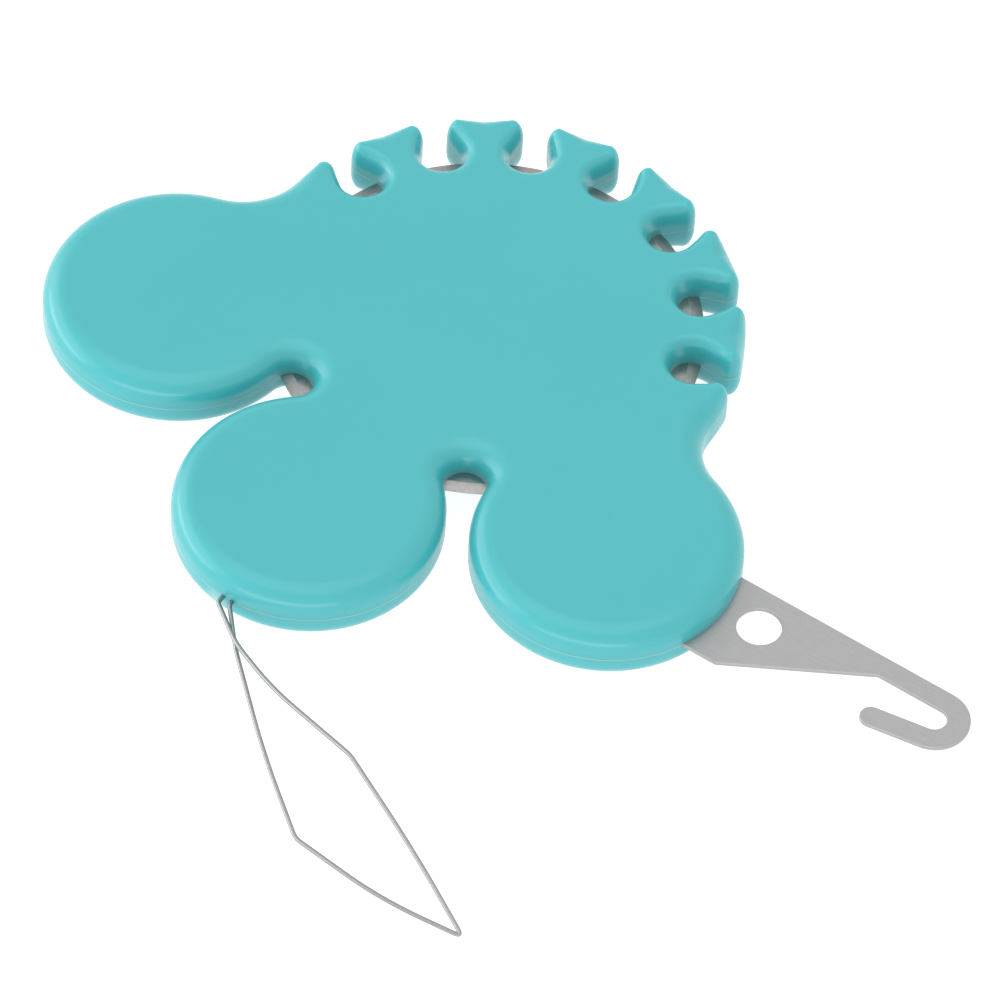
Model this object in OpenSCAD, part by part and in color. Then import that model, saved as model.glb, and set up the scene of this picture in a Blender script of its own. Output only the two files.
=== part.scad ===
// Needle threader with thread cutter, in millimetres.
// A flat case of two moulded halves clamps a round blade, a stamped hook plate and a spring-wire loop.
// Origin: centre of the blade, on the underside. +Y runs to the toothed arc, +X to the hook plate.

/* [Case] */
// Thickness of the closed case
case_t = 4.7; // [3.8:0.1:6]
// Reach of the teeth beyond the blade's edge
tooth_h = 3; // [2.4:0.1:4]
// Distance of the outer lobes' centres beyond the blade's edge
side_lobe_out = 6.8; // [6.4:0.1:8.2]
// Angle of the outer lobes below the blade's centre line
side_lobe_angle = 32.5; // [28:0.5:35]
// Distance of the middle lobe's centre beyond the blade's edge
middle_lobe_out = 6.3; // [5.2:0.1:8]
// Gap between neighbouring lobes where they are closest
lobe_gap = 1.8; // [1:0.1:2.4]
// Radius of the hollow between an outer lobe and the toothed arc
shoulder_r = 5; // [3:0.1:7]
// Radius of the round end of the notch between two lobes
notch_r = 1.6; // [1.2:0.1:2]
// Height of the rounded edge, and its width on the lobes
edge_r = 1.7; // [1.2:0.1:1.9]
// Width of the rounded edge on the walls of the thread slots
slot_edge_w = 1; // [0.4:0.1:1.2]
// Steps that make up the rounded edge
edge_steps = 5; // [3:1:8]

/* [Thread slots] */
// Number of thread slots
slot_count = 7; // [3:2:9]
// Angle from one slot to the next
slot_pitch = 24; // [22:0.5:28]
// Radius of the round seat of a slot
slot_r = 1.6; // [1.3:0.05:1.9]
// Distance of the seats' centres inside the blade's edge
seat_depth = 0.35; // [0:0.05:1]
// Lean of each slot wall towards the mouth, in degrees
slot_lean = 19; // [10:1:22]
// Radius of the tooth corners
tooth_corner_r = 0.9; // [0.5:0.1:1.1]

/* [Blade] */
// Radius of the blade
blade_r = 16.1; // [13.4:0.1:19.4]
// Thickness of the blade
blade_t = 0.3; // [0.2:0.05:0.5]
// Width of the ground bevel
bevel_w = 0.9; // [0.4:0.1:1.4]
// Thickness left at the cutting edge
blade_edge_t = 0.04; // [0.02:0.01:0.1]
// Radius of the hole that drops over the hub
blade_hole_r = 3; // [2:0.1:6]

/* [Hook threader] */
// Thickness of the hook plate
plate_t = 0.3; // [0.2:0.05:0.5]
// Turn of the plate in its lobe, in degrees
plate_lean = 0.8; // [-2:0.1:2]
// Distance of the plate's upper edge above the lobe centre
plate_top = 3.84; // [3.6:0.02:5.5]
// Distance of the plate's lower edge below the lobe centre
plate_bottom = 3.86; // [3:0.02:5]
// Length of the tang inside the lobe
tang_len = 9; // [7.5:0.1:10]
// Straight length of the lower edge outside the lobe
root_len = 2.05; // [1:0.05:4]
// Distance from the lobe to where the slanted edge meets the shank
slant_end = 12.15; // [8:0.05:14]
// Width of the shank and of the hook's arm
shank_w = 1.7; // [1.2:0.05:2.2]
// Distance from the lobe to the centre of the hook's bend
bend_reach = 17.5; // [14.5:0.1:22]
// Inside radius of the hook's bend
bend_in_r = 0.96; // [0.6:0.02:1.4]
// Length of the hook's arm from the bend to the centre of its round tip
arm_len = 4.1; // [2:0.1:4.5]
// Slope of the hook's arm away from the shank, in degrees
arm_slope = 9.5; // [0:0.5:12]
// Radius of the hole in the plate
hole_r = 1.66; // [1:0.02:2]
// Distance of the hole from the lobe
hole_reach = 2.8; // [2.4:0.1:4]
// Height of the hole above the lobe centre
hole_rise = 0.75; // [0:0.05:1.2]

/* [Wire threader] */
// Diameter of the spring wire
wire_d = 0.34; // [0.2:0.02:0.4]
// Distance between the two legs where they leave the case
leg_gap = 0.8; // [0.7:0.1:1.4]
// Distance of the pair of legs from the middle of the lobe, there
leg_at = 0.1; // [-0.5:0.05:0.5]
// Straight length of the left leg and of the right leg outside the case
left_leg_out = 0.65; // [0.3:0.05:1]
right_leg_out = 0.35; // [0.3:0.05:1]
// Length of the loop outside the case, along its straight line
loop_len = 33.8; // [25:0.1:42]
// Height of the loop's upper corner above its lower corner
loop_twist = 3; // [0:0.1:3.6]

/* [Joining pegs] */
// Radius of the pegs
peg_r = 1.5; // [1.2:0.1:1.8]
// Length of a peg above the parting face
peg_len = 1.1; // [0.8:0.1:1.3]
// Clearance round a peg and at its end
peg_gap = 0.05; // [0.02:0.01:0.1]
// Sideways clearance round the clamped blade, plate and wire
pocket_gap = 0.1; // [0.05:0.01:0.2]

/* [Hidden] */
$fn = 72;

parting_z = case_t / 2;
plastic = [0.39, 0.76, 0.78];
steel = [0.72, 0.72, 0.72];

// The toothed arc and the slot seats follow the blade's edge
arc_r = blade_r + tooth_h;
slot_seat = blade_r - seat_depth;

// Lobe centres, the lobe radius that leaves the gap between neighbours, and the centres of the hollows
// that join the lobes to each other and to the toothed arc
right_lobe = (blade_r + side_lobe_out) * [cos(side_lobe_angle), -sin(side_lobe_angle)];
middle_lobe = [0, -blade_r - middle_lobe_out];
left_lobe = mirrored(right_lobe);
lobe_r = (norm(right_lobe - middle_lobe) - lobe_gap) / 2;
shoulder = hollow_centre([0, 0], arc_r, right_lobe, lobe_r, shoulder_r, 1);
notch = hollow_centre(right_lobe, lobe_r, middle_lobe, lobe_r, notch_r, -1);

// The hollows cut this far into the arcs that they join, so that the curves cross and don't only graze
bite = 0.003;
// Cuts run past the faces that they open by this much
over = 1;

// A point on the other side of the centre line
function mirrored(p) = [-p[0], p[1]];

// Centre of a circle of radius r that touches circle a and circle b from outside.
// The centre is left of the line from a to b for side 1, and right of it for side -1.
function hollow_centre(a, ra, b, rb, r, side) =
    let (d = norm(b - a), along = (b - a) / d, across = [-along[1], along[0]],
         s = (d * d + pow(ra + r, 2) - pow(rb + r, 2)) / (2 * d),
         h = sqrt(pow(ra + r, 2) - s * s))
    a + s * along + side * h * across;

// ---- Outline of the case ----

// One thread slot on +Y, grown by e: a round seat, walls that lean in to the mouth, rounded tooth corners
module slot(e) {
    wall_out = [cos(slot_lean), sin(slot_lean)];
    wall_up = [-sin(slot_lean), cos(slot_lean)];
    seat = [0, slot_seat];
    start = seat + (slot_r + e) * wall_out;
    end = start + (arc_r + over - slot_seat) * wall_up;
    // Centre of the tooth corner: one corner radius from the wall and from the arc
    foot = seat + (slot_r + tooth_corner_r) * wall_out;
    rise = sqrt(pow(foot * wall_up, 2) - foot * foot + pow(arc_r - tooth_corner_r, 2)) - foot * wall_up;
    corner = foot + rise * wall_up;
    left_r = tooth_corner_r - e;
    translate(seat) circle(r = slot_r + e);
    polygon([start, end, mirrored(end), mirrored(start)]);
    if (left_r > 0)
        for (m = [0, 1]) mirror([m, 0])
            difference() {
                polygon([[0, slot_seat], corner - left_r * wall_out, corner,
                         corner * (1 + left_r / norm(corner)), corner * (arc_r + over) / norm(corner),
                         [0, arc_r + over]]);
                translate(corner) circle(r = left_r);
            }
}

// Outline of the case drawn in by e, and by slot_e at the thread slots
module case_outline(e = 0, slot_e = 0) {
    difference() {
        union() {
            intersection() {
                circle(r = arc_r - e);
                translate([-arc_r, right_lobe[1]]) square([2 * arc_r, arc_r - right_lobe[1]]);
            }
            for (c = [left_lobe, middle_lobe, right_lobe]) translate(c) circle(r = lobe_r - e);
            polygon([[0, 0], shoulder, right_lobe, notch, middle_lobe, mirrored(notch), left_lobe,
                     mirrored(shoulder)]);
        }
        for (m = [0, 1]) mirror([m, 0]) {
            translate(shoulder) circle(r = shoulder_r + e + bite);
            translate(notch) circle(r = notch_r + e + bite);
        }
        for (k = [0:slot_count - 1]) rotate((k - (slot_count - 1) / 2) * slot_pitch) slot(slot_e);
    }
}

// Half of the case standing on the parting face, its outer edge rounded in steps
module half_case() {
    wall_h = parting_z - edge_r;
    linear_extrude(height = wall_h) case_outline();
    for (k = [0:edge_steps - 1]) {
        mid = 90 * (k + 0.5) / edge_steps;
        share = 1 - cos(mid);
        linear_extrude(height = wall_h + edge_r * sin(90 * (k + 1) / edge_steps))
            case_outline(edge_r * share, slot_edge_w * share);
    }
}

// ---- What the halves hold ----

// Points of an arc about c, from angle a0 to angle a1
function arc(c, r, a0, a1) = [for (k = [0:arc_steps]) let (a = a0 + (a1 - a0) * k / arc_steps)
    c + r * [cos(a), sin(a)]];
arc_steps = 24;

// Outline of the hook plate, measured from the lobe centre, its tang drawn out by gap
module plate_outline(gap = 0) {
    bend = [lobe_r + bend_reach, plate_top - shank_w - bend_in_r];
    down = arm_slope - 90;
    tip = bend + (bend_in_r + shank_w / 2) * [cos(down), sin(down)] - arm_len * [-sin(down), cos(down)];
    polygon(concat(
        [[lobe_r - tang_len - gap, -plate_bottom - gap], [lobe_r + root_len, -plate_bottom - gap],
         [lobe_r + slant_end, plate_top - shank_w]],
        arc(bend, bend_in_r, 90, down),
        arc(tip, shank_w / 2, down + 180, down + 360),
        arc(bend, bend_in_r + shank_w, down, 90),
        [[lobe_r + root_len, plate_top + gap], [lobe_r - tang_len - gap, plate_top + gap]]));
}

// Carries its children to the right lobe, turned as the plate lies
module at_plate(z) {
    translate([right_lobe[0], right_lobe[1], z]) rotate(plate_lean) children();
}

// Distance of the tang's locating hole from the lobe centre
tang_hole = lobe_r - tang_len + 2.5 * peg_r;
// Places of the joining pegs: the hub and the three lobes, the right one through the tang's hole
peg_places = [[0, 0], left_lobe, middle_lobe, right_lobe + tang_hole * [cos(plate_lean), sin(plate_lean)]];

// One leg of the wire, from the middle lobe's centre: its straight length outside the case, the way in
// past the peg, and its bent end. The right leg has side 1, the left one -1.
leg_side = peg_r + peg_gap + pocket_gap + wire_d;
leg_turn = -4.5; // where the leg begins to spread round the peg
spread_end = -1.6; // where it has done so
end_low = 2.6;   // where its bent end begins
function leg_points(side, out) = let (x = leg_at + side * leg_gap / 2)
    [[x, -lobe_r - out], [x, leg_turn], [side * leg_side, spread_end], [side * leg_side, end_low],
     [side * (leg_side + end_run), end_low + end_rise]];
end_run = 2.6;   // sideways length of the bent end, and its rise
end_rise = 0.8;
legs = [leg_points(-1, left_leg_out), leg_points(1, right_leg_out)];

// Straight groove with round ends from a to b, half the wire deep on each side of the parting face
module groove(a, b) {
    w = wire_d + 2 * pocket_gap;
    run = b - a;
    translate([a[0], a[1], -wire_d / 2]) {
        rotate(atan2(run[1], run[0])) translate([0, -w / 2, 0]) cube([norm(run), w, wire_d]);
        cylinder(r = w / 2 + bite, h = wire_d);
    }
}

// Everything that the two halves are cut away for, with the parting face at z = 0
module pockets() {
    translate([0, 0, -blade_t / 2]) difference() {
        cylinder(r = blade_r + pocket_gap, h = blade_t);
        translate([0, 0, -over]) cylinder(r = blade_hole_r - pocket_gap, h = blade_t + 2 * over);
    }
    at_plate(-plate_t / 2) linear_extrude(height = plate_t) plate_outline(pocket_gap);
    translate(middle_lobe) for (leg = legs, k = [0:len(leg) - 2]) groove(leg[k], leg[k + 1]);
}

module bottom_shell() {
    color(plastic) {
        difference() {
            translate([0, 0, parting_z]) mirror([0, 0, 1]) half_case();
            translate([0, 0, parting_z]) pockets();
        }
        // Each peg is rooted in the half's floor, one rounding below the parting face
        for (p = peg_places) translate([p[0], p[1], parting_z - edge_r])
            cylinder(r = peg_r, h = edge_r + peg_len);
    }
}

module top_shell() {
    color(plastic) translate([0, 0, parting_z]) difference() {
        half_case();
        pockets();
        for (p = peg_places) translate([p[0], p[1], -over])
            cylinder(r = peg_r + peg_gap, h = over + peg_len + peg_gap);
    }
}

// Flat ring, ground from both sides to a thin edge
module cutter_blade() {
    flat_r = blade_r - bevel_w;
    color(steel) translate([0, 0, parting_z]) rotate_extrude()
        polygon([[blade_hole_r, -blade_t / 2], [flat_r, -blade_t / 2], [blade_r, -blade_edge_t / 2],
                 [blade_r, blade_edge_t / 2], [flat_r, blade_t / 2], [blade_hole_r, blade_t / 2]]);
}

module hook_threader() {
    color(steel) at_plate(parting_z - plate_t / 2) difference() {
        linear_extrude(height = plate_t) plate_outline();
        translate([lobe_r + hole_reach, hole_rise, -over]) cylinder(r = hole_r, h = plate_t + 2 * over);
        translate([tang_hole, 0, -over]) cylinder(r = peg_r + peg_gap, h = plate_t + 2 * over);
    }
}

// ---- Wire ----

// Route of the loop outside the case, from the left leg round to the right one. Each entry is a place as
// shares of the loop's length, its height as a share of the twist, and how far from it the bend begins.
// The two legs cross at the first and the last entry.
loop_route = [
    [0.091, -0.092, 0.05, 1.2], [0.2285, -0.150, 0.22, 4], [0.4755, -0.210, 0.5, 0.5],
    [0.714, -0.318, 0.26, 6],
    [0.922, -0.4265, 0, 0.8],
    [0.7175, -0.435, -0.26, 4], [0.4755, -0.4005, -0.5, 0.5], [0.300, -0.274, -0.28, 4],
    [0.091, -0.092, -0.05, 1.2]];

wire_route = concat(
    [for (k = [len(legs[0]) - 1:-1:0]) leg_entry(legs[0][k])],
    [for (p = loop_route)
        [middle_lobe[0] + loop_len * p[0], middle_lobe[1] - lobe_r + loop_len * p[1],
         parting_z + loop_twist * p[2] + sign(p[2]) * wire_d / 2 * (abs(p[2]) < 0.1 ? 1 : 0), p[3]]],
    [for (p = legs[1]) leg_entry(p)]);

// A point of the buried legs as an entry of the wire's route
function leg_entry(p) = [middle_lobe[0] + p[0], middle_lobe[1] + p[1], parting_z, 0.3];

function place(entry) = [entry[0], entry[1], entry[2]];
function unit(v) = v / norm(v);

// The route with each corner turned into a bend: a curve from the cut before the corner to the cut after
bend_steps = 5;
function bent(route) = concat(
    [place(route[0])],
    [for (k = [1:len(route) - 2]) let (
        p = place(route[k]), a = place(route[k - 1]), b = place(route[k + 1]),
        cut = min(route[k][3], norm(a - p) / 2, norm(b - p) / 2),
        from = p + cut * unit(a - p), to = p + cut * unit(b - p))
        for (j = [0:bend_steps]) let (t = j / bend_steps)
            (1 - t) * (1 - t) * from + 2 * t * (1 - t) * p + t * t * to],
    [place(route[len(route) - 1])]);

// Tube along a list of points, with flats above and below so that it seats in its groove
tube_sides = 8;
module tube(points, d) {
    last = len(points) - 1;
    corner_r = d / 2 / cos(180 / tube_sides);
    rings = [for (k = [0:last]) let (
        along = unit(points[min(k + 1, last)] - points[max(k - 1, 0)]),
        side = unit(cross(along, [0, 0, 1])), up = cross(side, along))
        for (j = [0:tube_sides - 1]) let (a = 360 * (j + 0.5) / tube_sides)
            points[k] + corner_r * (cos(a) * side + sin(a) * up)];
    walls = [for (k = [0:last - 1]) for (j = [0:tube_sides - 1])
        let (a = k * tube_sides, n = (j + 1) % tube_sides)
        for (f = [[a + j, a + n, a + n + tube_sides], [a + j, a + n + tube_sides, a + j + tube_sides]]) f];
    first_cap = [[for (j = [tube_sides - 1:-1:0]) j]];
    last_cap = [[for (j = [0:tube_sides - 1]) last * tube_sides + j]];
    polyhedron(points = rings, faces = concat(walls, first_cap, last_cap), convexity = 4);
}

module wire_threader() {
    color(steel) tube(bent(wire_route), wire_d);
}

bottom_shell();
top_shell();
cutter_blade();
hook_threader();
wire_threader();
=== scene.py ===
import math

import bpy
import numpy as np
from mathutils import Matrix, Vector
from mathutils.geometry import tessellate_polygon


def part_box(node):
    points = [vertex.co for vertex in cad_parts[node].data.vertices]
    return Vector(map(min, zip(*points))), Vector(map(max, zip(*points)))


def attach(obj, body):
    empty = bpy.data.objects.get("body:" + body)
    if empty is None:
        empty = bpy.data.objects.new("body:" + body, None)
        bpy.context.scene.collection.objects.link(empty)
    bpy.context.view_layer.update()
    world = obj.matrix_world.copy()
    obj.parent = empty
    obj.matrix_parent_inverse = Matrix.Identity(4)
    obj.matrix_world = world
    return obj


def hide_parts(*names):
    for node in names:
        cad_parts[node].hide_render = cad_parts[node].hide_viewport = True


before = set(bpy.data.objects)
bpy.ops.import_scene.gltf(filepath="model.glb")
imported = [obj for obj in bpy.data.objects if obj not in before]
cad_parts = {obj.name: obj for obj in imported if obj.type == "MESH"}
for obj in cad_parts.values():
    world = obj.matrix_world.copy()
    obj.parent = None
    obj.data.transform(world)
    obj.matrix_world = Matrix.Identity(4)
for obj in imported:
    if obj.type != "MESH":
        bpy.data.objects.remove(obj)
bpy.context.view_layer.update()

MM = 0.001  # all shapes are worked out in millimetres and scaled once, when a mesh is made


# ---- Case: two moulded halves ----
# Two halves of turquoise ABS, mirror images about the parting face, each with a full round along its
# outer edge. They are pressed together on pegs, and clamp the blade, the hook plate and the wire.

case_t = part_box("top_shell")[1].z / MM
blade_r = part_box("cutter_blade")[1].x / MM
parting_z = case_t / 2

tooth_h = 3.0
side_lobe_out, side_lobe_angle = 6.8, 32.5
middle_lobe_out = 6.3
lobe_gap = 1.8
shoulder_r, notch_r = 5.0, 1.6
slot_count, slot_pitch = 7, 24.0
slot_r, seat_depth, slot_lean = 1.6, 0.35, 19.0
tooth_corner_r = 0.9

edge_h = 1.7  # height of the rounded edge
edge_w, slot_edge_w, tooth_edge_w = 1.7, 1.0, 0.72  # its width on the lobes, in the slots, at a tooth corner
edge_w_slope = 0.45  # how fast the width may change, in mm per mm of edge
point_gap = 0.22  # distance between two points of the outline
round_steps, lip_steps = 16, 4  # steps of the rounded edge, and of the tiny lip at the parting
flat_ring = 0.04  # width of a narrow flat ring, which keeps the shading of the face beside it flat
plain_wall = 0.3  # height above the lip at which the plain wall begins


def heading(a, b):
    """Angle in degrees of the line from a to b."""
    return math.degrees(math.atan2(b[1] - a[1], b[0] - a[0]))


def hollow_centre(a, ra, b, rb, r, side):
    """Centre of a circle of radius r that touches circles a and b from outside: s along the line from a
    to b, from the difference of the squared distances, and h across it, to the left where side is 1."""
    d = np.linalg.norm(b - a)
    along = (b - a) / d
    across = np.array([-along[1], along[0]])
    s = (d * d + (ra + r) ** 2 - (rb + r) ** 2) / (2 * d)
    return a + s * along + side * math.sqrt((ra + r) ** 2 - s * s) * across


def arc(centre, r, start, end, width, hollow=False):
    """Rows of x, y, outward x, outward y, width along an arc from angle start to end in degrees. It runs
    counter-clockwise and outward is away from its centre, or the other way on both where it is hollow."""
    sweep = -((start - end) % 360) if hollow else (end - start) % 360
    count = max(4, round(abs(math.radians(sweep)) * r / point_gap))
    angle = np.radians(start + np.linspace(0, sweep, count + 1))
    spoke = np.stack([np.cos(angle), np.sin(angle)], 1)
    outward = -spoke if hollow else spoke
    return np.hstack([centre + r * spoke, outward, np.full((count + 1, 1), width)])


def line(a, b, width):
    """Rows like those of arc() along a straight wall from a to b, with the case on its left."""
    count = max(2, round(np.linalg.norm(b - a) / point_gap))
    run = (b - a) / np.linalg.norm(b - a)
    places = a + (b - a) * np.linspace(0, 1, count + 1)[1:-1, None]
    return np.hstack([places, np.tile([run[1], -run[0], width], (count - 1, 1))])


def mirrored(rows):
    """The same edge on the other side of the centre line, run through the other way."""
    return rows[::-1] * [-1, 1, -1, 1, 1]


def turned(rows, degrees):
    """The same edge turned about the origin."""
    c, s = math.cos(math.radians(degrees)), math.sin(math.radians(degrees))
    turn = np.array([[c, s], [-s, c]])
    return np.hstack([rows[:, 0:2] @ turn, rows[:, 2:4] @ turn, rows[:, 4:]])


centre = np.zeros(2)
arc_r = blade_r + tooth_h
lobe_angle = math.radians(side_lobe_angle)
right_lobe = (blade_r + side_lobe_out) * np.array([math.cos(lobe_angle), -math.sin(lobe_angle)])
middle_lobe = np.array([0, -blade_r - middle_lobe_out])
lobe_r = (np.linalg.norm(right_lobe - middle_lobe) - lobe_gap) / 2
shoulder = hollow_centre(centre, arc_r, right_lobe, lobe_r, shoulder_r, 1)
notch = hollow_centre(right_lobe, lobe_r, middle_lobe, lobe_r, notch_r, -1)

# One thread slot on +Y: its right half, from the tooth corner down the wall to the middle of the seat
seat = np.array([0, blade_r - seat_depth])
lean = math.radians(slot_lean)
wall_out, wall_up = np.array([math.cos(lean), math.sin(lean)]), np.array([-math.sin(lean), math.cos(lean)])
foot = seat + (slot_r + tooth_corner_r) * wall_out
climb = foot @ wall_up
corner = foot + (math.sqrt(climb ** 2 - foot @ foot + (arc_r - tooth_corner_r) ** 2) - climb) * wall_up
corner_angle = heading(centre, corner)
half_slot = np.vstack([
    arc(corner, tooth_corner_r, corner_angle, 180 + slot_lean, tooth_edge_w),
    line(corner - tooth_corner_r * wall_out, seat + slot_r * wall_out, slot_edge_w),
    arc(seat, slot_r, slot_lean, -90, slot_edge_w, hollow=True)])
slot = np.vstack([half_slot, mirrored(half_slot)[1:]])
slot_turns = (np.arange(slot_count) - (slot_count - 1) / 2) * slot_pitch

right_side = np.vstack([
    arc(middle_lobe, lobe_r, -90, heading(middle_lobe, notch), edge_w),
    arc(notch, notch_r, heading(notch, middle_lobe), heading(notch, right_lobe), edge_w, hollow=True),
    arc(right_lobe, lobe_r, heading(right_lobe, notch), heading(right_lobe, shoulder), edge_w),
    arc(shoulder, shoulder_r, heading(shoulder, right_lobe), heading(shoulder, centre), edge_w, hollow=True),
    arc(centre, arc_r, heading(centre, shoulder), corner_angle + slot_turns[0], edge_w)])
teeth = [turned(slot, slot_turns[0])]
for before, after in zip(slot_turns, slot_turns[1:]):
    teeth.append(arc(centre, arc_r, 180 - corner_angle + before, corner_angle + after, edge_w))
    teeth.append(turned(slot, after))
outline = np.vstack([right_side, *teeth, mirrored(right_side)[:-1]])
doubled = np.linalg.norm(outline[:, :2] - np.roll(outline[:, :2], 1, 0), axis=1) < 1e-6
outline = outline[~doubled]
edge_at, edge_out = outline[:, 0:2], outline[:, 2:4]

# The width of the rounding: at each point the least of the widths round about plus their distance
steps = np.linalg.norm(np.roll(edge_at, -1, 0) - edge_at, axis=1)
travelled = np.cumsum(steps) - steps
apart = np.abs(travelled[:, None] - travelled[None, :])
apart = np.minimum(apart, steps.sum() - apart)
round_w = (outline[:, 4] + edge_w_slope * apart).min(1)


def skin(name, rings, closed=False):
    """Mesh over rings of points, an array of ring, point and coordinate in millimetres. Each ring joins
    the next one by four-sided faces, and its last point joins its first. The first and last ring are
    filled by one flat face each, or joined to each other where closed is True."""
    count, size = rings.shape[:2]
    lower = np.arange(count if closed else count - 1)[:, None] * size
    upper = (lower + size) % (count * size)
    here, there = np.arange(size), (np.arange(size) + 1) % size
    walls = np.stack([lower + here, lower + there, upper + there, upper + here], -1).reshape(-1, 4)
    faces = walls.tolist()
    if not closed:
        faces += [here[::-1].tolist(), (here + (count - 1) * size).tolist()]
    mesh = bpy.data.meshes.new(name)
    mesh.from_pydata((rings.reshape(-1, 3) * MM).tolist(), [], faces)
    mesh.polygons.foreach_set("use_smooth", np.ones(len(faces), bool))
    made = bpy.data.objects.new(name, mesh)
    bpy.context.scene.collection.objects.link(made)
    return made


def half_case(lip):
    """Rings of the upper half: its outline drawn in by width * (1 - cos t) at height edge_h * sin t for
    the rounded edge, and by a quarter circle of radius lip where the wall meets the parting face."""
    t = np.radians(np.linspace(0, 90, round_steps + 1))
    lip_t = np.radians(np.linspace(90, 0, lip_steps + 1))
    wall = parting_z + lip + np.array([flat_ring, plain_wall])
    z = np.concatenate([[parting_z], parting_z + lip * (1 - np.sin(lip_t)), wall,
                        case_t - edge_h + edge_h * np.sin(t), [case_t]])
    share = np.concatenate([np.zeros(lip_steps + 4), 1 - np.cos(t), [1]])
    extra = np.concatenate([[lip + flat_ring], lip * (1 - np.cos(lip_t)), np.zeros(round_steps + 3),
                            [flat_ring]])
    inset = share[:, None] * round_w + extra[:, None]
    flat_xy = edge_at - inset[:, :, None] * edge_out
    return np.concatenate([flat_xy, np.broadcast_to(z[:, None, None], flat_xy.shape[:2] + (1,))], 2)


def srgb(code):
    """Linear colour of an sRGB hex code: each share is raised to 2.4, or divided by 12.92 near black."""
    shares = [int(code[k:k + 2], 16) / 255 for k in (1, 3, 5)]
    return tuple(s / 12.92 if s <= 0.04045 else ((s + 0.055) / 1.055) ** 2.4 for s in shares) + (1.0,)


def add(tree, kind, inputs=None, **settings):
    """Adds a node with its settings. An input is a value, or an output socket to link from."""
    made = tree.nodes.new(kind)
    for name, value in settings.items():
        setattr(made, name, value)
    for name, value in (inputs or {}).items():
        if isinstance(value, bpy.types.NodeSocket):
            tree.links.new(value, made.inputs[name])
        else:
            made.inputs[name].default_value = value
    return made


def material(name):
    """A new material, its node tree, and the socket that its shader goes to."""
    made = bpy.data.materials.new(name)
    made.use_nodes = True
    made.node_tree.nodes.clear()
    output = made.node_tree.nodes.new("ShaderNodeOutputMaterial")
    return made, made.node_tree, output.inputs["Surface"]


# Moulded ABS, dyed in the mass and slightly translucent, from a fine-polished mould: a soft gloss with
# a grain that is felt more than seen, and a faint cloudiness where the melt flowed.
cloud_size, grain_size, wave_size = 14, 0.12, 5
abs_plastic, tree, surface = material("turquoise_abs_moulded")
place = add(tree, "ShaderNodeTexCoord").outputs["Object"]
clouds = add(tree, "ShaderNodeTexNoise", {"Vector": place, "Scale": 1 / (cloud_size * MM), "Detail": 2.0})
tint = add(tree, "ShaderNodeMix", {0: clouds.outputs["Fac"], 6: srgb("#40a8ad"), 7: srgb("#44acb1")},
           data_type="RGBA")
# The witness mark of the gate, left of the wire: the plastic is paler there where the sprue broke off
gate_at = (-0.9 * MM, -32.37 * MM, 1.4 * MM)
gate_far = add(tree, "ShaderNodeVectorMath", {0: place, 1: gate_at}, operation="DISTANCE")
gate_pale = add(tree, "ShaderNodeMapRange", {"Value": gate_far.outputs["Value"], "From Min": 0.3 * MM,
                                             "From Max": 1.3 * MM, "To Min": 0.45, "To Max": 0.0})
tint = add(tree, "ShaderNodeMix", {0: gate_pale.outputs[0], 6: tint.outputs[2], 7: srgb("#b4cdcb")},
           data_type="RGBA")
# Where the halves meet, a painted highlight stands in for light caught by the edge of the joint: a fine pale
# line, 0.06 mm to each side
height = add(tree, "ShaderNodeSeparateXYZ", {0: place}).outputs["Z"]
at_parting = add(tree, "ShaderNodeMath", {0: height, 1: parting_z * MM, 2: 0.06 * MM}, operation="COMPARE")
parting_highlight = add(tree, "ShaderNodeMath", {0: at_parting.outputs[0], 1: 0.5}, operation="MULTIPLY")
# Painted highlight: the tint is turned half way to pale turquoise along the parting
tint = add(tree, "ShaderNodeMix", {0: parting_highlight.outputs[0], 6: tint.outputs[2], 7: srgb("#8fd0d2")},
           data_type="RGBA")
grain = add(tree, "ShaderNodeTexNoise", {"Vector": place, "Scale": 1 / (grain_size * MM), "Detail": 3.0})
waves = add(tree, "ShaderNodeTexNoise", {"Vector": place, "Scale": 1 / (wave_size * MM), "Detail": 1.0})
gloss = add(tree, "ShaderNodeMapRange", {"Value": grain.outputs["Fac"], "To Min": 0.2, "To Max": 0.3})
ripple = add(tree, "ShaderNodeBump", {"Height": waves.outputs["Fac"], "Strength": 0.3,
                                      "Distance": 0.012 * MM})
skin_bump = add(tree, "ShaderNodeBump", {"Height": grain.outputs["Fac"], "Strength": 0.3,
                                         "Distance": 0.002 * MM, "Normal": ripple.outputs["Normal"]})
plastic = add(tree, "ShaderNodeBsdfPrincipled", {
    "Base Color": tint.outputs[2], "Roughness": gloss.outputs[0], "IOR": 1.54,
    "Subsurface Weight": 0.3, "Subsurface Radius": (0.3, 1.0, 1.0), "Subsurface Scale": 2.0 * MM,
    "Normal": skin_bump.outputs["Normal"]})
tree.links.new(plastic.outputs[0], surface)

upper_rings = half_case(0.01)
lower_rings = upper_rings[::-1] * [1, 1, -1] + [0, 0, case_t]
for name, rings in (("top_shell", upper_rings), ("bottom_shell", lower_rings)):
    shell = skin(name + "_moulding", rings)
    shell.data.materials.append(abs_plastic)
    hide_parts(name)
    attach(shell, "root")


# ---- Cutter blade ----
# A flat ring of hardened steel, ground from both sides to a thin edge. It drops over a hub between the
# halves, which clamp it, and it shows only in the slots and the notches.

blade_low, blade_high = (corner_point / MM for corner_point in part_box("cutter_blade"))
blade_z = (blade_low.z + blade_high.z) / 2
half_t = (blade_high.z - blade_low.z) / 2
blade_hole_r, bevel_w, half_edge_t = 3.0, 0.9, 0.02
crease = 0.015  # distance of a point from a crease, to each side, which keeps it sharp
bevel_r = blade_r - bevel_w
bevel_slope = (half_t - half_edge_t) / bevel_w

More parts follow.
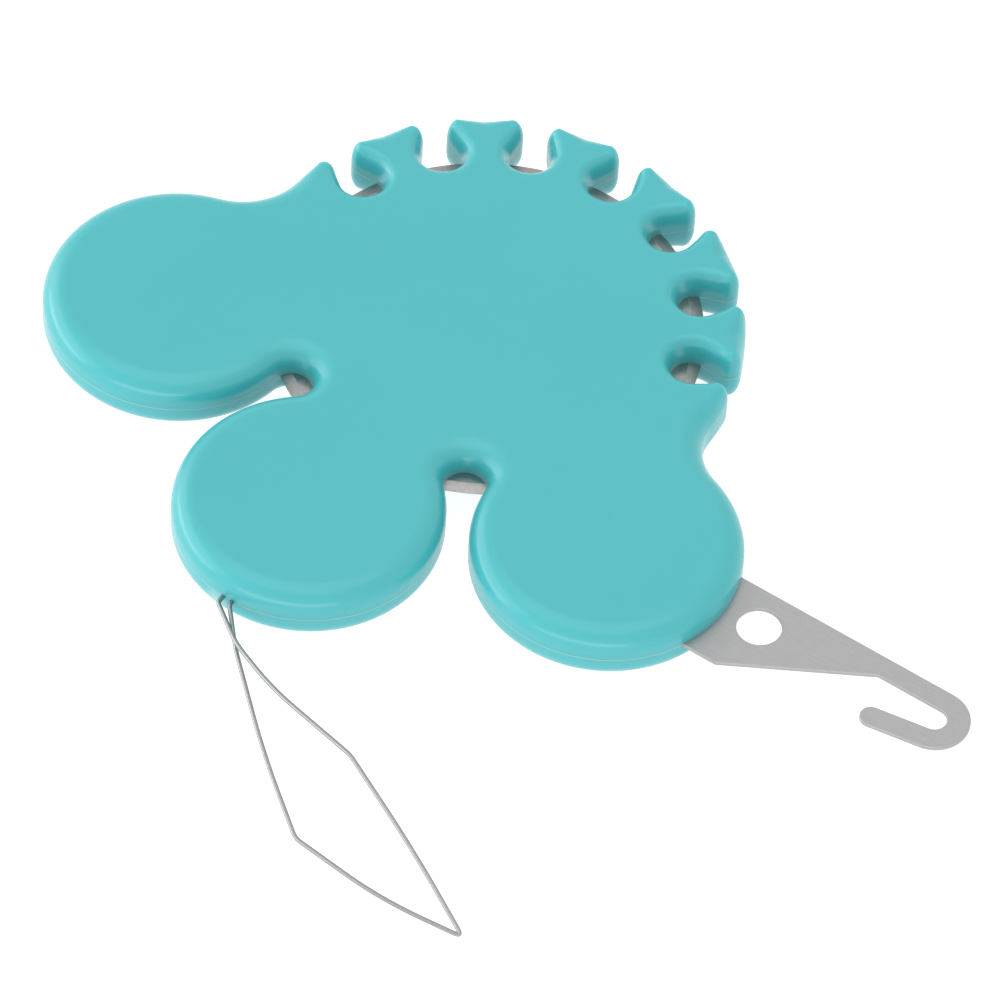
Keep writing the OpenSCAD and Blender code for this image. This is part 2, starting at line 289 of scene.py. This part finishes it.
upper_profile = np.array([
    [blade_hole_r, 0], [blade_hole_r, half_t - 2 * crease], [blade_hole_r + 2 * crease, half_t],
    [blade_hole_r + 4 * crease, half_t], [bevel_r - 2 * crease, half_t], [bevel_r - crease, half_t],
    [bevel_r + crease, half_t - crease * bevel_slope],
    [bevel_r + 2 * crease, half_t - 2 * crease * bevel_slope],
    [blade_r - crease, half_edge_t + crease * bevel_slope], [blade_r, half_edge_t / 2]])
blade_profile = np.vstack([upper_profile[:0:-1] * [1, -1], upper_profile])

# The profile of distance and height is turned about the axis, one degree at a time
turns = np.radians(np.arange(0, 360, 1.0))
blade_rings = np.stack([
    blade_profile[:, 0] * np.cos(turns)[:, None], blade_profile[:, 0] * np.sin(turns)[:, None],
    np.broadcast_to(blade_z + blade_profile[:, 1], (len(turns), len(blade_profile)))], -1)

# Hardened carbon steel, bright-rolled on the flats and ground across the bevel: the flats mirror the
# walls softly, the bevel is duller with short grinding marks that run out to the edge.
blade_steel, tree, surface = material("blade_steel_ground")
place = add(tree, "ShaderNodeTexCoord").outputs["Object"]
parts = add(tree, "ShaderNodeSeparateXYZ", {0: place})
turn = add(tree, "ShaderNodeMath", {0: parts.outputs["Y"], 1: parts.outputs["X"]}, operation="ARCTAN2")
level = add(tree, "ShaderNodeCombineXYZ", {0: parts.outputs["X"], 1: parts.outputs["Y"]})
reach = add(tree, "ShaderNodeVectorMath", {0: level.outputs[0]}, operation="LENGTH")
# Grinding marks lie side by side round the edge, and run across it
mark_pitch, mark_len, bevel_blur = 0.08, 1.0, 0.02
mark_x = add(tree, "ShaderNodeMath", {0: turn.outputs[0], 1: blade_r / mark_pitch}, operation="MULTIPLY")
mark_y = add(tree, "ShaderNodeMath", {0: reach.outputs["Value"], 1: 1 / (mark_len * MM)},
             operation="MULTIPLY")
marks_at = add(tree, "ShaderNodeCombineXYZ", {0: mark_x.outputs[0], 1: mark_y.outputs[0]})
marks = add(tree, "ShaderNodeTexNoise", {"Vector": marks_at.outputs[0], "Scale": 1.0, "Detail": 3.0})
on_bevel = add(tree, "ShaderNodeMapRange", {
    "Value": reach.outputs["Value"], "From Min": (bevel_r - bevel_blur) * MM,
    "From Max": (bevel_r + bevel_blur) * MM})
cut = add(tree, "ShaderNodeMath", {0: marks.outputs["Fac"], 1: on_bevel.outputs[0]}, operation="MULTIPLY")
rolled = add(tree, "ShaderNodeTexNoise", {"Vector": place, "Scale": 1 / (0.3 * MM), "Detail": 4.0})
tone = add(tree, "ShaderNodeMix", {0: rolled.outputs["Fac"], 6: srgb("#8f8e8c"), 7: srgb("#b5b4b2")},
           data_type="RGBA")
shine = add(tree, "ShaderNodeMapRange", {"Value": on_bevel.outputs[0], "To Min": 0.22, "To Max": 0.42})
dents = add(tree, "ShaderNodeBump", {"Height": cut.outputs[0], "Strength": 0.6, "Distance": 0.01 * MM})
steel = add(tree, "ShaderNodeBsdfPrincipled", {
    "Base Color": tone.outputs[2], "Metallic": 1.0, "Roughness": shine.outputs[0],
    "Normal": dents.outputs["Normal"]})
tree.links.new(steel.outputs[0], surface)

blade = skin("cutter_blade_ground", blade_rings, closed=True)
blade.data.materials.append(blade_steel)
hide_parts("cutter_blade")
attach(blade, "root")


# ---- Hook threader ----
# One stamping of stainless sheet: a tang that the case clamps, a plate with a hole, and a shank bent
# round in the flat to an open hook. The punch leaves a rolled-over upper edge and a sharp lower one.

plate_low, plate_high = (corner_point / MM for corner_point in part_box("hook_threader"))
plate_lean = math.radians(0.8)
plate_top, plate_bottom = 3.84, 3.86
tang_len, root_len, slant_end = 9.0, 2.05, 12.15
shank_w, bend_reach, bend_in_r = 1.7, 17.5, 0.96
arm_len, arm_slope = 4.1, 9.5
hole_r, hole_reach, hole_rise = 1.66, 2.8, 0.75
tang_hole_r, tang_hole_at = 1.55, 3.75  # from the end of the tang
tang_corner_r, root_corner_r = 0.3, 0.12
roll_r, burr_r, flat_rim = 0.06, 0.015, 0.03


def loop_of(points):
    """Closed outline with corners through points: rows of x, y, and the outward step that moves both
    neighbouring edges out by one. The step is the sum of their normals over one plus their product."""
    run = np.roll(points, -1, 0) - points
    run /= np.linalg.norm(run, axis=1)[:, None]
    after = np.stack([run[:, 1], -run[:, 0]], 1)
    before = np.roll(after, 1, 0)
    step = (before + after) / (1 + (before * after).sum(1))[:, None]
    return np.hstack([points, step])


def bow(centre, r, start, end, count=24):
    """Points of an arc about centre from angle start to end, in degrees."""
    angle = np.radians(np.linspace(start, end, count + 1))
    return centre + r * np.stack([np.cos(angle), np.sin(angle)], 1)


bend = np.array([lobe_r + bend_reach, plate_top - shank_w - bend_in_r])
down = arm_slope - 90
spoke = np.array([math.cos(math.radians(down)), math.sin(math.radians(down))])
tip = bend + (bend_in_r + shank_w / 2) * spoke - arm_len * np.array([-spoke[1], spoke[0]])
tang_end = lobe_r - tang_len
plate_edge = loop_of(np.vstack([
    bow(np.array([tang_end + tang_corner_r, tang_corner_r - plate_bottom]), tang_corner_r, 180, 270, 4),
    bow(np.array([lobe_r + root_len, root_corner_r - plate_bottom]), root_corner_r, 270, 292, 3),
    [[lobe_r + slant_end, plate_top - shank_w]],
    bow(bend, bend_in_r, 90, down), bow(tip, shank_w / 2, down + 180, down + 360),
    bow(bend, bend_in_r + shank_w, down, 90),
    bow(np.array([tang_end + tang_corner_r, plate_top - tang_corner_r]), tang_corner_r, 90, 180, 4)]))
plate_hole = loop_of(bow(np.array([lobe_r + hole_reach, hole_rise]), hole_r, 360, 0, 72)[:-1])
tang_hole = loop_of(bow(np.array([tang_end + tang_hole_at, 0]), tang_hole_r, 360, 0, 48)[:-1])


def punched_wall(loop):
    """Rings down the punched wall of a loop, from the flat above to the flat below: a quarter circle of
    radius roll_r over the upper edge, a straight wall, and a quarter circle of radius burr_r."""
    t = np.radians(np.linspace(0, 90, 6))
    inset = np.concatenate([[roll_r + flat_rim], roll_r * (1 - np.sin(t)), burr_r * (1 - np.cos(t)),
                            [burr_r + flat_rim]])
    z = np.concatenate([[plate_high.z], plate_high.z - roll_r * (1 - np.cos(t)),
                        plate_low.z + burr_r * (1 - np.sin(t)), [plate_low.z]])
    xy = loop[:, 0:2] - inset[:, None, None] * loop[:, 2:4]
    return np.concatenate([xy, np.broadcast_to(z[:, None, None], xy.shape[:2] + (1,))], 2)


# The three walls are numbered one after another. The two flats are one set of triangles between the
# first rings of the walls above, and the same set turned over between their last rings below.
walls = [punched_wall(loop) for loop in (plate_edge, plate_hole, tang_hole)]
rim = [wall[0] for wall in walls]
fill = np.array(tessellate_polygon([ring.tolist() for ring in rim]))
rim_first = np.cumsum([0] + [len(ring) for ring in rim])
points, faces = [], []
upper_index, lower_index = np.zeros(rim_first[-1], int), np.zeros(rim_first[-1], int)
for wall, first in zip(walls, rim_first):
    start = sum(len(p) for p in points)
    rows, size = wall.shape[:2]
    here, there = np.arange(size), (np.arange(size) + 1) % size
    upper = start + np.arange(rows - 1)[:, None] * size
    faces.append(np.stack([upper + there, upper + here, upper + size + here, upper + size + there], -1)
                 .reshape(-1, 4))
    upper_index[first:first + size] = start + here
    lower_index[first:first + size] = start + (rows - 1) * size + here
    points.append(wall.reshape(-1, 3))
points = np.vstack(points)
a, b, c = (rim_points for rim_points in np.vstack(rim)[fill].transpose(1, 0, 2))
facing_up = np.cross(b - a, c - a)[:, 2] > 0
fill[~facing_up] = fill[~facing_up][:, ::-1]
c, s = math.cos(plate_lean), math.sin(plate_lean)
points[:, :2] = points[:, :2] @ np.array([[c, s], [-s, c]]) + right_lobe
plate_faces = np.vstack(faces).tolist() + upper_index[fill].tolist() + lower_index[fill[:, ::-1]].tolist()
plate_mesh = bpy.data.meshes.new("hook_threader_stamping")
plate_mesh.from_pydata((points * MM).tolist(), [], plate_faces)
plate_mesh.polygons.foreach_set("use_smooth", np.ones(len(plate_faces), bool))
hook_plate = bpy.data.objects.new("hook_threader_stamping", plate_mesh)
bpy.context.scene.collection.objects.link(hook_plate)

# Stainless spring sheet, cold-rolled and barrel-finished after stamping: an even grey with a fine
# matt grain, and faint lines along the rolling direction.
grit_size, rolling_pitch, mottle_size = 0.1, 0.12, 3
sheet_steel, tree, surface = material("stainless_sheet_tumbled")
place = add(tree, "ShaderNodeTexCoord").outputs["Object"]
along = add(tree, "ShaderNodeMapping", {"Vector": place, "Scale": (0.08, 1.0, 1.0)})
grit = add(tree, "ShaderNodeTexNoise", {"Vector": place, "Scale": 1 / (grit_size * MM), "Detail": 4.0,
                                        "Roughness": 0.65})
rolling = add(tree, "ShaderNodeTexNoise", {"Vector": along.outputs[0], "Scale": 1 / (rolling_pitch * MM),
                                           "Detail": 3.0})
mottle = add(tree, "ShaderNodeTexNoise", {"Vector": place, "Scale": 1 / (mottle_size * MM), "Detail": 2.0})
both = add(tree, "ShaderNodeMix", {0: 0.35, 2: grit.outputs["Fac"], 3: rolling.outputs["Fac"]})
tone = add(tree, "ShaderNodeMix", {0: both.outputs[0], 6: srgb("#929292"), 7: srgb("#bfbfbf")},
           data_type="RGBA")
dull = add(tree, "ShaderNodeMapRange", {"Value": mottle.outputs["Fac"], "To Min": 0.42, "To Max": 0.5})
grit_bump = add(tree, "ShaderNodeBump", {"Height": both.outputs[0], "Strength": 0.5, "Distance": 0.006 * MM})
sheet = add(tree, "ShaderNodeBsdfPrincipled", {
    "Base Color": tone.outputs[2], "Metallic": 1.0, "Roughness": dull.outputs[0],
    "Normal": grit_bump.outputs["Normal"]})
tree.links.new(sheet.outputs[0], surface)

hook_plate.data.materials.append(sheet_steel)
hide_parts("hook_threader")
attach(hook_plate, "root")


# ---- Wire threader ----
# One length of drawn spring wire. Its two legs leave the middle lobe side by side, cross, and open into
# a long kite-shaped loop that folds flat to pass a needle's eye. In the case the legs spread round the
# peg, and their bent ends are trapped between the halves.

wire_d, loop_len, loop_twist = 0.34, 33.8, 3.0
leg_at, leg_gap, leg_side = 0.1, 0.8, 1.99
left_leg_out, right_leg_out = 0.65, 0.35
leg_turn, spread_end, end_low, end_run, end_rise = -4.5, -1.6, 2.6, 2.6, 0.8
leg_cut = 0.3  # how far off a leg's corners the bends begin
near_crossing = 0.1  # the rise below which a strand is at the crossing
bend_steps, wire_sides = 12, 16
# Places as shares of the loop's length, heights as shares of the twist, and how far off the bend begins
loop_route = [
    (0.091, -0.092, 0.05, 1.2), (0.2285, -0.150, 0.22, 4), (0.4755, -0.210, 0.5, 0.5),
    (0.714, -0.318, 0.26, 6),
    (0.922, -0.4265, 0, 0.8),
    (0.7175, -0.435, -0.26, 4), (0.4755, -0.4005, -0.5, 0.5), (0.300, -0.274, -0.28, 4),
    (0.091, -0.092, -0.05, 1.2)]


def leg(side, out):
    """Entries of the route along a leg, from its straight length outside the case to its bent end."""
    x = leg_at + side * leg_gap / 2
    spots = [(x, -lobe_r - out), (x, leg_turn), (side * leg_side, spread_end), (side * leg_side, end_low),
             (side * (leg_side + end_run), end_low + end_rise)]
    return [[middle_lobe[0] + px, middle_lobe[1] + py, parting_z, leg_cut] for px, py in spots]


def loop_entry(x, y, rise, cut):
    """An entry of the route round the loop. Where the legs cross they stay one wire apart in height."""
    clear = math.copysign(wire_d / 2, rise) if 0 < abs(rise) < near_crossing else 0
    return [middle_lobe[0] + loop_len * x, middle_lobe[1] - lobe_r + loop_len * y,
            parting_z + loop_twist * rise + clear, cut]


route = np.array(leg(-1, left_leg_out)[::-1] + [loop_entry(*p) for p in loop_route] + leg(1, right_leg_out))


def bent(route):
    """The route with each corner p turned into the curve (1-t)^2 from + 2t(1-t) p + t^2 to, where from
    and to lie on the two straights, as far from p as its cut says and at most half way along."""
    places, cuts = route[:, :3], route[1:-1, 3]
    p, before, after = places[1:-1], places[:-2] - places[1:-1], places[2:] - places[1:-1]
    back, on = np.linalg.norm(before, axis=1), np.linalg.norm(after, axis=1)
    cut = np.minimum(cuts, np.minimum(back, on) / 2)[:, None]
    start, end = p + cut * before / back[:, None], p + cut * after / on[:, None]
    t = np.linspace(0, 1, bend_steps + 1)[None, :, None]
    curves = (1 - t) ** 2 * start[:, None] + 2 * t * (1 - t) * p[:, None] + t ** 2 * end[:, None]
    line_points = np.vstack([places[:1], curves.reshape(-1, 3), places[-1:]])
    apart = np.linalg.norm(np.diff(line_points, axis=0), axis=1) > 1e-4
    return line_points[np.concatenate([[True], apart])]


wire_line = bent(route)
ahead = np.gradient(wire_line, axis=0)
ahead /= np.linalg.norm(ahead, axis=1)[:, None]
sideways = np.cross(ahead, [0, 0, 1])
sideways /= np.linalg.norm(sideways, axis=1)[:, None]
upward = np.cross(sideways, ahead)
around = np.radians(np.arange(wire_sides) * 360 / wire_sides)
wire_rings = (wire_line[:, None]
              + wire_d / 2 * (np.cos(around)[None, :, None] * sideways[:, None]
                              + np.sin(around)[None, :, None] * upward[:, None]))

# Stainless spring wire as drawn: bright, with a fine grain that dulls the highlight.
draw_grain = 0.15
wire_steel, tree, surface = material("spring_wire_drawn")
place = add(tree, "ShaderNodeTexCoord").outputs["Object"]
draw = add(tree, "ShaderNodeTexNoise", {"Vector": place, "Scale": 1 / (draw_grain * MM), "Detail": 3.0})
tone = add(tree, "ShaderNodeMix", {0: draw.outputs["Fac"], 6: srgb("#8c8c8c"), 7: srgb("#a8a8a8")},
           data_type="RGBA")
lines_bump = add(tree, "ShaderNodeBump", {"Height": draw.outputs["Fac"], "Strength": 0.3,
                                          "Distance": 0.004 * MM})
wire_shader = add(tree, "ShaderNodeBsdfPrincipled", {
    "Base Color": tone.outputs[2], "Metallic": 1.0, "Roughness": 0.3, "Normal": lines_bump.outputs["Normal"]})
tree.links.new(wire_shader.outputs[0], surface)

wire = skin("wire_threader_loop", wire_rings)
wire.data.materials.append(wire_steel)
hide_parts("wire_threader")
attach(wire, "root")


# ---- Floor, light and camera ----
# A white table that glows faintly, under soft light from all round: a diffuser and a low strip on the
# left, a low strip in front and a diffuser above. The camera looks down from the front right through a
# long lens.

aim = Vector((9.32, -11.34, 0)) * MM
floor_size = 4.0  # in metres

floor_mesh = bpy.data.meshes.new("table")
half = floor_size / 2
floor_mesh.from_pydata([(-half, -half, 0), (half, -half, 0), (half, half, 0), (-half, half, 0)], [],
                       [(0, 1, 2, 3)])
floor = bpy.data.objects.new("table", floor_mesh)
bpy.context.scene.collection.objects.link(floor)
table_white, tree, surface = material("table_white_matt")
table_paint = add(tree, "ShaderNodeBsdfPrincipled", {
    "Base Color": srgb("#8c8c8c"), "Roughness": 0.8, "Emission Color": srgb("#ffffff"),
    "Emission Strength": 0.9})
tree.links.new(table_paint.outputs[0], surface)
floor.data.materials.append(table_white)

world = bpy.data.worlds.new("white_room")
bpy.context.scene.world = world
world.use_nodes = True
world.node_tree.nodes["Background"].inputs["Color"].default_value = srgb("#ffffff")
world.node_tree.nodes["Background"].inputs["Strength"].default_value = 1.0


def direction(azimuth, elevation):
    """Unit vector towards a place seen at that azimuth from the front, and that elevation."""
    a, e = math.radians(azimuth), math.radians(elevation)
    return Vector((math.sin(a) * math.cos(e), -math.cos(a) * math.cos(e), math.sin(e)))


def softbox(name, azimuth, elevation, distance, size, power):
    """A rectangular diffuser that faces the object, and isn't seen by the camera itself. Its distance
    and size are in metres and its power in watts."""
    light = bpy.data.lights.new(name, "AREA")
    light.shape, light.size, light.size_y, light.energy = "RECTANGLE", *size, power
    lamp = bpy.data.objects.new(name, light)
    lamp.location = aim + direction(azimuth, elevation) * distance
    lamp.rotation_mode = "QUATERNION"
    lamp.rotation_quaternion = direction(azimuth, elevation).to_track_quat("Z", "Y")
    lamp.visible_camera = False
    bpy.context.scene.collection.objects.link(lamp)


softbox("left_diffuser", -70, 24, 0.9, (1.3, 0.6), 2.8)
softbox("left_strip", -66, 6, 0.8, (0.8, 0.14), 1.1)
softbox("front_strip", 20, 6, 0.8, (1.1, 0.14), 1.6)
softbox("top_diffuser", 0, 88, 0.9, (0.9, 0.9), 1.6)

camera = bpy.data.cameras.new("camera")
camera.lens, camera.sensor_width = 315.0, 36.0
camera.clip_start, camera.clip_end = 0.05, 20
camera_object = bpy.data.objects.new("camera", camera)
bpy.context.scene.collection.objects.link(camera_object)
camera_azimuth, camera_elevation, camera_roll, camera_distance = 32.395, 50.503, 3.81, 0.63935
towards = direction(camera_azimuth, camera_elevation)
level_view = towards.to_track_quat("Z", "Y").to_matrix().to_4x4()
camera_object.matrix_world = (Matrix.Translation(aim + towards * camera_distance) @ level_view
                              @ Matrix.Rotation(math.radians(camera_roll), 4, "Z"))
bpy.context.scene.camera = camera_object
bpy.context.scene.view_settings.view_transform = "Standard"
